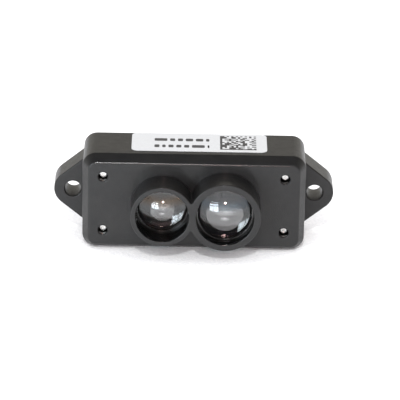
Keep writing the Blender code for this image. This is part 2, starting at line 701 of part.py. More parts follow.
def add_connector(materials):
    """A four-pin upright socket on the controller board that looks out through the cover's window."""
    foot = CONTROLLER_REAR + GAP
    spot = (CONNECTOR_X, 0.0)
    inner_x = CONNECTOR_HALF_X - CONNECTOR_WALL
    inner_z = CONNECTOR_HALF_Z - CONNECTOR_WALL
    outer = rounded_rectangle(CONNECTOR_HALF_X, CONNECTOR_HALF_Z, CONNECTOR_CORNER_R, 1, spot)
    inner = rounded_rectangle(inner_x, inner_z, CONNECTOR_INNER_CORNER_R, 1, spot)
    sections = [(foot, outer), (CONNECTOR_OUT, outer), (CONNECTOR_OUT, inner), (CONNECTOR_FLOOR, inner)]
    housing = loft("connector_housing", sections, materials["socket"])
    between_feet = block(
        "guide_feet",
        (CONNECTOR_X - CONNECTOR_FOOT_X, foot - CLEAR, -CONNECTOR_HALF_Z - CLEAR),
        (CONNECTOR_X + CONNECTOR_FOOT_X, foot + CONNECTOR_FOOT_HIGH, CONNECTOR_HALF_Z + CLEAR),
    )
    combine(housing, between_feet, "DIFFERENCE")
    for i, x in enumerate((CONNECTOR_X - KEY_X, CONNECTOR_X + KEY_X), 1):
        low = (x - KEY_HALF, KEY_REAR, KEY_LOW)
        high = (x + KEY_HALF, CONNECTOR_OUT + CLEAR, CONNECTOR_HALF_Z + CLEAR)
        combine(housing, block(f"guide_key_{i}", low, high), "DIFFERENCE")
    room = PIN_HALF + PIN_ROOM
    for i in range(PIN_COUNT):
        x = CONNECTOR_X + (i - (PIN_COUNT - 1) / 2) * PIN_PITCH
        low = (x - room, foot - CLEAR, -room)
        high = (x + room, CONNECTOR_FLOOR + CLEAR, room)
        combine(housing, block(f"guide_pin_hole_{i + 1}", low, high), "DIFFERENCE")
        add_pin(f"connector_pin_{i + 1}", x, foot, materials["gold"])


def add_pin(name, x, foot, material):
    """A square pin that turns down into a foot on the board."""
    elbow = foot + PIN_LEG
    side = [(foot, PIN_HALF), (PIN_TIP, PIN_HALF), (PIN_TIP, -PIN_HALF), (elbow, -PIN_HALF)]
    side += [(elbow, PIN_FOOT_Z), (foot, PIN_FOOT_Z)]
    builder = bmesh.new()
    near = [builder.verts.new(metres(x - PIN_HALF, y, z)) for y, z in side]
    far = [builder.verts.new(metres(x + PIN_HALF, y, z)) for y, z in side]
    for a in range(len(side)):
        b = (a + 1) % len(side)
        builder.faces.new((near[a], near[b], far[b], far[a]))
    builder.faces.new(near)
    builder.faces.new(far[::-1])
    new_object(name, builder, material)


# ---------------------------------------------------------------- label
def add_label(material):
    centre = ((LABEL_LEFT + LABEL_RIGHT) / 2, (LABEL_FRONT + LABEL_REAR) / 2)
    half = ((LABEL_RIGHT - LABEL_LEFT) / 2, (LABEL_REAR - LABEL_FRONT) / 2)
    outline = rounded_rectangle(half[0], half[1], LABEL_CORNER_R, 5)
    label = loft("label", [(0.0, outline), (LABEL_THICK, outline)], material)
    place = Matrix.Translation(metres(centre[0], centre[1], HALF_H + LABEL_LIFT))
    label.matrix_world = place @ Matrix.Rotation(math.radians(90), 4, "X")


def clear_scene():
    for thing in list(bpy.data.objects):
        bpy.data.objects.remove(thing)


def main():
    clear_scene()
    materials = palette()
    add_front_housing(materials["shell"])
    add_rear_cover(materials["shell"])
    add_cover_screws(materials["steel"])
    add_optics(materials)
    add_emitter(materials)
    add_sensor(materials)
    add_boards(materials)
    add_board_parts(materials)
    add_board_link(materials["socket"])
    add_connector(materials)
    add_label(materials["label"])


main()
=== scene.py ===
"""Looks for the small twin-lens distance sensor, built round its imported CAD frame.

The frame is in metres: X along the module, -Y the way it looks, Z up, and the origin at the centre
of the rear face. Shape numbers below are in millimetres, and metres() turns them into metres.
"""

import math
import random

import bmesh
import bpy
from mathutils import Matrix, Vector


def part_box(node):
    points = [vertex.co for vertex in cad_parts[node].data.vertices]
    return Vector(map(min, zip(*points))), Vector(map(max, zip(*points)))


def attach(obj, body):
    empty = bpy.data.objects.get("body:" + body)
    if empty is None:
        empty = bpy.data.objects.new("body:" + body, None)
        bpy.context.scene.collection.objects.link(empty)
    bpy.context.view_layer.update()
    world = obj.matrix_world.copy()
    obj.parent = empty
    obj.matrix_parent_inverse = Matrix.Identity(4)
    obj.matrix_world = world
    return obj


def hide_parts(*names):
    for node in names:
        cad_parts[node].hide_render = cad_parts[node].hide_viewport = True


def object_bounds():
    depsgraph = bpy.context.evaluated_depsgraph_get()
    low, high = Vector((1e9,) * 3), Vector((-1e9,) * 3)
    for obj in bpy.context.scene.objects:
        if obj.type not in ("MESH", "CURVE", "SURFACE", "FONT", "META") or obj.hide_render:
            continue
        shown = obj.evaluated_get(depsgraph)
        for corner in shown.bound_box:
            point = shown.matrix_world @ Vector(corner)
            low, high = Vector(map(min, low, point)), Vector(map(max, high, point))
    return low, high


MM = 0.001

# ---------------- frame
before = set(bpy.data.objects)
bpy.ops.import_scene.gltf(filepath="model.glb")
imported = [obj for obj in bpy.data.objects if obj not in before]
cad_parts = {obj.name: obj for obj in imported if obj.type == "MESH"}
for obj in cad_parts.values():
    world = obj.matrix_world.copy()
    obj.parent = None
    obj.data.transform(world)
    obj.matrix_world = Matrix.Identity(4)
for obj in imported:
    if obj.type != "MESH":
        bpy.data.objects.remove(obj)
cad_low, cad_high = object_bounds()


def box_mm(node):
    """A node's lowest and highest corners in millimetres."""
    low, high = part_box(node)
    return [v / MM for v in low], [v / MM for v in high]


def middle_mm(node):
    low, high = box_mm(node)
    return [(a + b) / 2 for a, b in zip(low, high)]


housing_low, housing_high = box_mm("front_housing")
emitter_x = middle_mm("emitter_lens")[0]
receiver_x = middle_mm("receiver_lens")[0]

# shape of the housing and the optics, from the frame where the frame gives it
HALF_H = housing_high[2]
EAR_SPAN = housing_high[0] - housing_low[0]
RIM = housing_low[1]
BARREL_OUT = 4.7
FRONT = RIM + BARREL_OUT
HALF_W = 16.6
CORNER_R = 2.0
CHAMFER_SIDE = 0.95
CHAMFER_DEPTH = 1.57
REAR_EDGE_R = 0.25
FRONT_EDGE_R = 0.42
EAR_FRONT = -4.43
EAR_X = 36.35 / 2
EAR_HOLE_R = 1.25
EAR_HOLE_LIP = 0.15
EAR_ROOT_HALF = 4.92
EAR_EDGE_R = 0.2
EAR_TIP_R = EAR_SPAN / 2 - EAR_X
EMITTER_BARREL_R = 4.69
RECEIVER_BARREL_R = 5.31
EMITTER_BORE_R = 3.95
RECEIVER_BORE_R = 4.3
NOTCH_R = 0.25
RIM_EDGE_R = 0.15
RIM_LIP = 0.12
INNER_FRONT = FRONT + 1.2
SIDE_WALL = 1.5
COVER_WALL = 1.0
COVER_INNER = -1.2
SCREW_HOLE_R = 0.675
BOSS_END = -3.02
OPTICS_FRONT = -5.4
TUBE_END = OPTICS_FRONT - 0.42
EMITTER_SEAT = -10.2
RECEIVER_SEAT = -12.0
EMITTER_APERTURE_R = 3.4
RECEIVER_APERTURE_R = 3.65
FILTER_SEAT = -8.2
FILTER_POCKET_R = 3.9
EMITTER_BALL_R = 4.0
RECEIVER_BALL_R = 5.2
EMITTER_FLANGE = 0.5
RECEIVER_FLANGE = 0.58
EMITTER_BOSS = (3.3, EMITTER_SEAT + 0.6)  # radius and depth of the flat rear
RECEIVER_BOSS = (3.6, RECEIVER_SEAT + 1.0)
SCREWS = [f"cover_screw_{i}" for i in range(1, 5)]
SCREW_SPOTS = [(middle_mm(name)[0], middle_mm(name)[2]) for name in SCREWS]


def place_object(name, data):
    thing = bpy.data.objects.new(name, data)
    bpy.context.scene.collection.objects.link(thing)
    return thing


# ---------------- stage
def flat_object(name, points, faces, material):
    """An open sheet for the stage."""
    mesh = bpy.data.meshes.new(name)
    mesh.from_pydata(points, [], faces)
    mesh.materials.append(material)
    return place_object(name, mesh)


def light_material(name):
    """A material whose only shader so far is a light, not yet linked to its output."""
    material = bpy.data.materials.new(name)
    material.use_nodes = True
    tree = material.node_tree
    tree.nodes.clear()
    light = tree.nodes.new("ShaderNodeEmission")
    out = tree.nodes.new("ShaderNodeOutputMaterial")
    return material, tree, light, out


def add_floor():
    """A wide sheet of white paper with a fine tooth, just under the module. Sizes are in metres."""
    half, gap, tooth = 3.0, 0.00001, 0.0002
    z = cad_low[2] - gap
    corners = [(-half, -half, z), (half, -half, z), (half, half, z), (-half, half, z)]
    material, tree, shader = new_material("floor_paper")
    grain = noise(tree, 2600.0, 4.0, 0.6)
    tone = ramp(tree, grain, [(0.3, (0.86, 0.87, 0.885)), (0.7, (0.97, 0.97, 0.97))])
    tree.links.new(tone, shader.inputs["Base Color"])
    shader.inputs["Roughness"].default_value = 0.9
    bump(tree, shader, grain, tooth, 0.7)
    floor = flat_object("floor", corners, [(0, 1, 2, 3)], material)


def add_floor_glow(lens, x, material):
    """A soft bright patch on the paper in front of one lens, which is the only thing it lights."""
    half, near, far, lift = 7.0, -22.0, -38.0, 0.02
    z = housing_low[2] + lift
    corners = [(x - half, far, z), (x + half, far, z), (x + half, near, z), (x - half, near, z)]
    points = [metres(*corner) for corner in corners]
    glow = flat_object(lens + "_glow", points, [(0, 1, 2, 3)], material)
    glow.visible_camera = False
    glow.visible_diffuse = False
    glow.visible_shadow = False
    link_light(glow, lens + "_glow_reaches", "INCLUDE", [lens])


def glow_material():
    """Light on a clear sheet that fades from the sheet's middle to nothing at its edge."""
    strength = 4.5
    material, tree, light, out = light_material("glow_light")
    centred = tree.nodes.new("ShaderNodeMapping")
    centred.inputs["Location"].default_value = (-1.0, -1.0, 0.0)
    centred.inputs["Scale"].default_value = (2.0, 2.0, 0.0)
    tree.links.new(tree.nodes.new("ShaderNodeTexCoord").outputs["Generated"], centred.inputs["Vector"])
    ball = tree.nodes.new("ShaderNodeTexGradient")
    ball.gradient_type = "QUADRATIC_SPHERE"
    tree.links.new(centred.outputs["Vector"], ball.inputs["Vector"])
    tree.links.new(maths(tree, "MULTIPLY", ball.outputs["Fac"], strength), light.inputs["Strength"])
    clear = tree.nodes.new("ShaderNodeBsdfTransparent")
    both = tree.nodes.new("ShaderNodeAddShader")
    tree.links.new(light.outputs[0], both.inputs[0])
    tree.links.new(clear.outputs[0], both.inputs[1])
    tree.links.new(both.outputs[0], out.inputs["Surface"])
    return material


def aim(thing, place, target):
    thing.location = place
    thing.rotation_mode = "QUATERNION"
    thing.rotation_quaternion = (Vector(target) - Vector(place)).to_track_quat("-Z", "Y")


def direction(azimuth, elevation):
    """A unit vector from the object. Azimuth 0 is in front of it, and + is to the viewer's right."""
    a = math.radians(azimuth)
    e = math.radians(elevation)
    return Vector((math.sin(a) * math.cos(e), -math.cos(a) * math.cos(e), math.sin(e)))


def add_light(name, kind, azimuth, elevation, distance, energy, size, colour=(1, 1, 1), mirrored=True):
    """A round area light, size in metres, or a sun, size in radians, aimed at the module."""
    data = bpy.data.lights.new(name, kind)
    data.energy = energy
    data.color = colour
    if kind == "AREA":
        data.shape = "DISK"
        data.size = size
    else:
        data.angle = size
    lamp = place_object(name, data)
    aim(lamp, direction(azimuth, elevation) * distance, (0, -0.005, 0))
    lamp.visible_glossy = mirrored
    lamp.visible_transmission = mirrored
    return lamp


def add_window():
    """A bright window to the front left, in panes, that shows as a reflection in both lenses.

    Panes are (left, right, low, high) in parts of the window's size. Sizes are in metres."""
    azimuth, elevation, distance = -32.0, 9.0, 0.12
    size, bar, strength = 0.063, 0.0036, 9.5
    lean = math.radians(8)
    panes = [
        (-0.5, 0.0, -0.5, 0.12),
        (0.0, 0.5, -0.5, 0.12),
        (-0.5, 0.0, 0.12, 0.34),
        (0.0, 0.5, 0.12, 0.34),
        (-0.5, 0.5, 0.42, 0.5),
    ]
    material, tree, light, out = light_material("window_light")
    light.inputs["Color"].default_value = (0.86, 0.94, 1.0, 1.0)
    light.inputs["Strength"].default_value = strength
    tree.links.new(light.outputs[0], out.inputs["Surface"])
    points = []
    faces = []
    for left, right, low, high in panes:
        a, b = left * size + bar / 2, right * size - bar / 2
        c, d = low * size + bar / 2, high * size - bar / 2
        n = len(points)
        points += [(a, c, 0), (b, c, 0), (b, d, 0), (a, d, 0)]
        faces.append((n, n + 1, n + 2, n + 3))
    window = flat_object("window", points, faces, material)
    aim(window, direction(azimuth, elevation) * distance, (0, -0.01, 0))
    tilt = Matrix.Rotation(lean, 3, "Z").to_quaternion()
    window.rotation_quaternion = window.rotation_quaternion @ tilt
    window.visible_camera = False


def add_world():
    """A dim room in front and overhead and a pale wall low behind, with an even dome for soft light."""
    world = bpy.data.worlds.new("studio")
    bpy.context.scene.world = world
    world.use_nodes = True
    tree = world.node_tree
    tree.nodes.clear()
    out = tree.nodes.new("ShaderNodeOutputWorld")
    background = tree.nodes.new("ShaderNodeBackground")
    coords = tree.nodes.new("ShaderNodeTexCoord")
    split = tree.nodes.new("ShaderNodeSeparateXYZ")
    tree.links.new(coords.outputs["Generated"], split.inputs[0])
    overhead = (0.85, (0.03, 0.03, 0.03))
    wall = ramp(tree, split.outputs["Z"], [
        (0.0, (1.0, 0.97, 0.9)),
        (0.35, (1.0, 0.96, 0.87)),
        (0.62, (0.28, 0.25, 0.22)),
        overhead,
    ])
    room = ramp(tree, split.outputs["Z"], [
        (0.0, (0.3, 0.27, 0.24)),
        (0.12, (0.085, 0.085, 0.086)),
        (0.5, (0.05, 0.052, 0.06)),
        overhead,
    ])
    behind = spread(tree, split.outputs["Y"], 0.0, 1.0, -0.1, 0.45)
    tree.links.new(blend(tree, behind, room, wall), background.inputs["Color"])
    soft = tree.nodes.new("ShaderNodeBackground")
    soft.inputs["Color"].default_value = (0.99, 0.99, 1.0, 1.0)
    soft.inputs["Strength"].default_value = 1.3
    path = tree.nodes.new("ShaderNodeLightPath")
    pick = tree.nodes.new("ShaderNodeMixShader")
    tree.links.new(path.outputs["Is Diffuse Ray"], pick.inputs["Fac"])
    tree.links.new(background.outputs[0], pick.inputs[1])
    tree.links.new(soft.outputs[0], pick.inputs[2])
    tree.links.new(pick.outputs[0], out.inputs["Surface"])


def link_light(lamp, name, state, lenses=("emitter_lens_glass", "receiver_lens_glass")):
    """Makes a light reach only the given lenses, or everything but them."""
    group = bpy.data.collections.new(name)
    for lens in lenses:
        group.objects.link(bpy.data.objects[lens])
    for entry in group.collection_objects:
        entry.light_linking.link_state = state
    lamp.light_linking.receiver_collection = group


def add_lights():
    """Numbers are azimuth, elevation, distance, strength and size."""
    add_world()
    add_window()
    key = add_light("key", "SUN", -3.0, 45.0, 1.0, 1.25, math.radians(3.0))
    link_light(key, "key_leaves_out", "EXCLUDE")
    add_light("flash", "AREA", 1.0, 26.0, 0.6, 0.45, 0.045, (1.0, 0.66, 0.62))
    glint = add_light("flash_glint", "AREA", 1.5, 26.0, 0.6, 1.6, 0.036, (1.0, 0.6, 0.56))
    glint.visible_transmission = False
    link_light(glint, "glint_lights_only", "INCLUDE")
    add_light("fill_front", "AREA", 4.0, 24.0, 0.9, 1.4, 0.9, mirrored=False)


def add_camera():
    """Seen from in front, about 23 degrees above, with a long lens and a small tilt."""
    data = bpy.data.cameras.new("camera")
    data.sensor_width = 36.0
    data.lens = 256.6
    data.clip_start = 0.02
    data.clip_end = 10.0
    camera = place_object("camera", data)
    yaw, pitch, roll = math.radians(-0.476), math.radians(-23.296), math.radians(-1.197)
    place = (-0.00231, -0.39868, 0.16827)
    turn = Matrix.Rotation(yaw, 4, "Z") @ Matrix.Rotation(math.pi / 2 + pitch, 4, "X")
    turn = turn @ Matrix.Rotation(-roll, 4, "Z")
    camera.matrix_world = Matrix.Translation(place) @ turn
    bpy.context.scene.camera = camera


# ---------------- material nodes
def new_material(name):
    material = bpy.data.materials.new(name)
    material.use_nodes = True
    tree = material.node_tree
    return material, tree, tree.nodes["Principled BSDF"]


def object_point(tree):
    return tree.nodes.new("ShaderNodeTexCoord").outputs["Object"]


def noise(tree, scale, detail=3.0, rough=0.55, stretch=None):
    """Fractal noise in the object's own space. scale is in cells for each metre."""
    node = tree.nodes.new("ShaderNodeTexNoise")
    node.inputs["Scale"].default_value = scale
    node.inputs["Detail"].default_value = detail
    node.inputs["Roughness"].default_value = rough
    point = object_point(tree)
    if stretch:
        mapping = tree.nodes.new("ShaderNodeMapping")
        mapping.inputs["Scale"].default_value = stretch
        tree.links.new(point, mapping.inputs["Vector"])
        point = mapping.outputs["Vector"]
    tree.links.new(point, node.inputs["Vector"])
    return node.outputs["Fac"]


def ramp(tree, value, stops):
    """A colour ramp through (place, colour) stops."""
    node = tree.nodes.new("ShaderNodeValToRGB")
    marks = node.color_ramp.elements
    while len(marks) < len(stops):
        marks.new(0.5)
    for mark, (place, colour) in zip(marks, stops):
        mark.position = place
        mark.color = (*colour, 1.0)
    tree.links.new(value, node.inputs["Fac"])
    return node.outputs["Color"]


def spread(tree, value, low, high, start=0.3, end=0.7):
    """Maps a noise value to a range of numbers."""
    node = tree.nodes.new("ShaderNodeMapRange")
    node.inputs["From Min"].default_value = start
    node.inputs["From Max"].default_value = end
    node.inputs["To Min"].default_value = low
    node.inputs["To Max"].default_value = high
    tree.links.new(value, node.inputs["Value"])
    return node.outputs["Result"]


def maths(tree, operation, *values):
    """One sum. Each value is a float or a socket."""
    node = tree.nodes.new("ShaderNodeMath")
    node.operation = operation
    for socket, value in zip(node.inputs, values):
        if isinstance(value, float):
            socket.default_value = value
        else:
            tree.links.new(value, socket)
    return node.outputs[0]


def blend(tree, factor, first, second):
    """A mix of two colours. The first is a socket, the second a socket or a plain colour."""
    node = tree.nodes.new("ShaderNodeMix")
    node.data_type = "RGBA"
    tree.links.new(factor, node.inputs["Factor"])
    colours = [socket for socket in node.inputs if socket.type == "RGBA"]
    tree.links.new(first, colours[0])
    if isinstance(second, tuple):
        colours[1].default_value = (*second, 1.0)
    else:
        tree.links.new(second, colours[1])
    return [socket for socket in node.outputs if socket.type == "RGBA"][0]


def tone_and_sheen(tree, shader, value, dark, light, rough):
    """Colour and roughness that both follow one noise."""
    tree.links.new(ramp(tree, value, [(0.3, dark), (0.7, light)]), shader.inputs["Base Color"])
    tree.links.new(spread(tree, value, rough[0], rough[1]), shader.inputs["Roughness"])


def bump(tree, shader, height, distance, strength=1.0):
    node = tree.nodes.new("ShaderNodeBump")
    node.inputs["Distance"].default_value = distance
    node.inputs["Strength"].default_value = strength
    tree.links.new(height, node.inputs["Height"])
    tree.links.new(node.outputs["Normal"], shader.inputs["Normal"])


def grained_plastic(name, dark, light, rough, grain_scale, grain_depth, gloss=0.0, specular=0.38):
    """Moulded plastic: a fine spark-eroded texture, slight mottling and a few duller patches."""
    material, tree, shader = new_material(name)
    mottle = noise(tree, 350.0, 5.0, 0.6)
    tree.links.new(ramp(tree, mottle, [(0.3, dark), (0.7, light)]), shader.inputs["Base Color"])
    grain = noise(tree, grain_scale, 3.0, 0.65)
    patches = noise(tree, 900.0, 4.0, 0.5)
    halves = [maths(tree, "MULTIPLY", value, 0.5) for value in (grain, patches)]
    tree.links.new(spread(tree, maths(tree, "ADD", *halves), rough[0], rough[1]), shader.inputs["Roughness"])
    bump(tree, shader, grain, grain_depth, 0.6)
    if gloss:
        shader.inputs["Coat Weight"].default_value = gloss
        shader.inputs["Coat Roughness"].default_value = 0.13
    shader.inputs["Specular IOR Level"].default_value = specular
    return material


def smooth_gloss(name, dark, light, rough):
    """A polished or coated surface with faint smears."""
    material, tree, shader = new_material(name)
    smear = noise(tree, 700.0, 4.0, 0.55)
    tone_and_sheen(tree, shader, smear, dark, light, rough)
    bump(tree, shader, smear, 0.000004, 0.3)
    return material


def worn_metal(name, dark, light, rough, stretch=(1, 1, 1)):
    """Plated metal with a fine rubbed grain."""
    material, tree, shader = new_material(name)
    shader.inputs["Metallic"].default_value = 1.0
    grain = noise(tree, 6000.0, 4.0, 0.6, stretch)
    tone_and_sheen(tree, shader, grain, dark, light, rough)
    bump(tree, shader, grain, 0.000006, 0.5)
    return material


def clear_glass(name, tint, rough=0.0):
    """Polished optical glass with the faintest haze from wiping."""
    material, tree, shader = new_material(name)
    haze = noise(tree, 500.0, 4.0, 0.6)
    paler = tuple(min(1.0, channel + 0.015) for channel in tint)
    tone_and_sheen(tree, shader, haze, tint, paler, (rough, rough + 0.004))
    bump(tree, shader, haze, 0.0000005, 0.2)
    shader.inputs["Transmission Weight"].default_value = 1.0
    shader.inputs["IOR"].default_value = 1.5
    return material


# ---------------- flat outlines, in millimetres
def arc(centre, radius, start, end, steps):
    points = []
    for i in range(steps + 1):
        angle = start + (end - start) * i / steps
        points.append((centre[0] + radius * math.cos(angle), centre[1] + radius * math.sin(angle)))
    return points


def rounded_rectangle(half_a, half_b, radius, steps=12, centre=(0.0, 0.0)):
    points = []
    corners = ((1, 1, 0.0), (-1, 1, 0.5), (-1, -1, 1.0), (1, -1, 1.5))
    for sign_a, sign_b, turn in corners:
        middle = (
            centre[0] + sign_a * (half_a - radius),
            centre[1] + sign_b * (half_b - radius),
        )
        points += arc(middle, radius, turn * math.pi, (turn + 0.5) * math.pi, steps)
    return points


def body_outline(inset):
    return rounded_rectangle(HALF_W - inset, HALF_H - inset, CORNER_R - inset)


def ear_outline(inset, side):
    """One ear: a round tip and two flanks that run into the side wall."""
    root_x = HALF_W - 0.6 * SIDE_WALL
    away = math.hypot(EAR_X - HALF_W, EAR_ROOT_HALF)
    fall = math.atan2(EAR_ROOT_HALF, EAR_X - HALF_W) - math.asin(EAR_TIP_R / away)
    root_z = EAR_ROOT_HALF + (HALF_W - root_x) * math.tan(fall) - inset / math.cos(fall)
    tip = arc((EAR_X, 0.0), EAR_TIP_R - inset, fall - math.pi / 2, math.pi / 2 - fall, 36)
    outline = [(root_x, -root_z)] + tip + [(root_x, root_z)]
    return [(side * x, z) for x, z in outline]


def barrel_outline(inset):
    """The two barrels' joined outline, with the notch between them rounded."""
    between = receiver_x - emitter_x
    near = EMITTER_BARREL_R + NOTCH_R
    far = RECEIVER_BARREL_R + NOTCH_R
    along = (between**2 + near**2 - far**2) / (2 * between)
    up = math.sqrt(near**2 - along**2)
    left = math.atan2(up, along)
    right = math.atan2(up, along - between)
    into = NOTCH_R + inset
    down_left = math.atan2(-up, -along)
    down_right = math.atan2(-up, between - along)
    notch_x = emitter_x + along
    points = arc((emitter_x, 0.0), EMITTER_BARREL_R - inset, left, math.tau - left, 110)
    points += arc((notch_x, -up), into, -down_left, -down_right, 8)[1:-1]
    points += arc((receiver_x, 0.0), RECEIVER_BARREL_R - inset, -right, right, 120)
    points += arc((notch_x, up), into, down_right, down_left, 8)[1:-1]
    return points


def eased_edge(radius, steps=5):
    """Inset and depth round a quarter circle, from the flat face to the straight side or wall."""
    angles = [math.pi / 2 * i / steps for i in range(steps + 1)]
    return [(radius * (1 - math.sin(a)), radius * (1 - math.cos(a))) for a in angles]


def rounded_path(points, radii, steps=5):
    """A polyline with each inner corner turned into an arc of the given radius."""
    path = [points[0]]
    for i in range(1, len(points) - 1):
        here = Vector(points[i])
        back = Vector(points[i - 1]) - here
        ahead = Vector(points[i + 1]) - here
        if not radii[i]:
            path.append(tuple(here))
            continue
        half = back.angle(ahead) / 2
        reach = radii[i] / math.tan(half)
        start = here + back.normalized() * reach
        end = here + ahead.normalized() * reach
        centre = here + (back.normalized() + ahead.normalized()).normalized() * radii[i] / math.sin(half)
        first = start - centre
        last = end - centre
        sweep = first.angle_signed(last)
        for k in range(steps + 1):
            turn = Matrix.Rotation(-sweep * k / steps, 2)
            path.append(tuple(centre + turn @ first))
    path.append(points[-1])
    return path


# ---------------- solids
def metres(x, y, z):
    return Vector((x, y, z)) * MM


def new_object(name, builder, *materials, sharp=30.0):
    """Turns a finished bmesh into a smooth-shaded object with sharp corners kept."""
    bmesh.ops.recalc_face_normals(builder, faces=builder.faces)
    mesh = bpy.data.meshes.new(name)
    builder.to_mesh(mesh)
    builder.free()
    for material in materials:
        mesh.materials.append(material)
    mesh.shade_smooth()
    mesh.set_sharp_from_angle(angle=math.radians(sharp))
    return place_object(name, mesh)


def ring_of(builder, points):
    return [builder.verts.new(metres(*point)) for point in points]


def skin(builder, rings, count):
    """Faces between neighbouring rings of points. A ring of one point makes a fan."""
    for first, second in zip(rings, rings[1:]):
        for i in range(count):
            j = (i + 1) % count
            corners = (
                first[i % len(first)], first[j % len(first)],
                second[j % len(second)], second[i % len(second)],
            )
            builder.faces.new(list(dict.fromkeys(corners)))


def loft(name, sections, *materials):
    """A solid through flat outlines. Each section is its depth y and its (x, z) points."""
    builder = bmesh.new()
    rings = [ring_of(builder, [(x, y, z) for x, z in outline]) for y, outline in sections]
    skin(builder, rings, len(rings[0]))
    builder.faces.new(rings[0])
    builder.faces.new(rings[-1][::-1])
    return new_object(name, builder, *materials)


def turned(name, profile, centre, segments, *materials, closed=False, sharp=30.0):
    """A solid of revolution about the line along Y through centre. The profile is (radius, y)."""
    builder = bmesh.new()
    rings = []
    for radius, y in profile:
        ring = []
        for i in range(segments if radius > 0 else 1):
            angle = math.tau * i / segments
            ring.append((centre[0] + radius * math.cos(angle), y, centre[1] + radius * math.sin(angle)))
        rings.append(ring_of(builder, ring))
    skin(builder, rings + rings[:1] if closed else rings, segments)
    return new_object(name, builder, *materials, sharp=sharp)


def combine(target, tools, tool, operation):
    """Queues a Boolean on the target and notes its tool. settle() applies them all."""
    modifier = target.modifiers.new(tool.name, "BOOLEAN")
    modifier.operation = operation
    modifier.object = tool
    tools.append(tool)


def settle(thing, tools, sharp=30.0):
    """Applies the Booleans, drops their tools and lets large faces rule the shading."""
    graph = bpy.context.evaluated_depsgraph_get()
    shape = bpy.data.meshes.new_from_object(thing.evaluated_get(graph))
    thing.modifiers.clear()
    thing.data = shape
    for tool in tools:
        bpy.data.objects.remove(tool)
    shape.shade_smooth()
    shape.set_sharp_from_angle(angle=math.radians(sharp))
    even = thing.modifiers.new("even_shading", "WEIGHTED_NORMAL")
    even.mode = "FACE_AREA"
    even.weight = 90
    even.keep_sharp = True


def stands_for(thing, *nodes, slot):
    """Puts a detailed piece in the place of its CAD nodes."""
    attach(thing, "root")
    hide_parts(*nodes)


# ---------------- housing
def bore_cutter(name, x, steps):
    """A stepped hole along a lens axis whose mouth is rounded."""
    bore_r = steps[0][0]
    start = RIM - 0.5
    profile = [(0.0, start), (bore_r + RIM_LIP, start)]
    profile += [(bore_r + run, RIM + depth) for run, depth in eased_edge(RIM_LIP)]
    profile += steps + [(0.0, steps[-1][1])]
    return turned(name, profile, (x, 0.0), 160)


def front_section_steps():
    """Depth and inset from the side wall, over the bevel, to the flat front."""
    bevel_rear_r = 0.5
    corners = [
        (-2.0, 0.0),
        (FRONT + CHAMFER_DEPTH, 0.0),
        (FRONT, CHAMFER_SIDE),
        (FRONT, CHAMFER_SIDE + 0.5),
    ]
    return rounded_path(corners, [0.0, bevel_rear_r, FRONT_EDGE_R, 0.0])[1:]


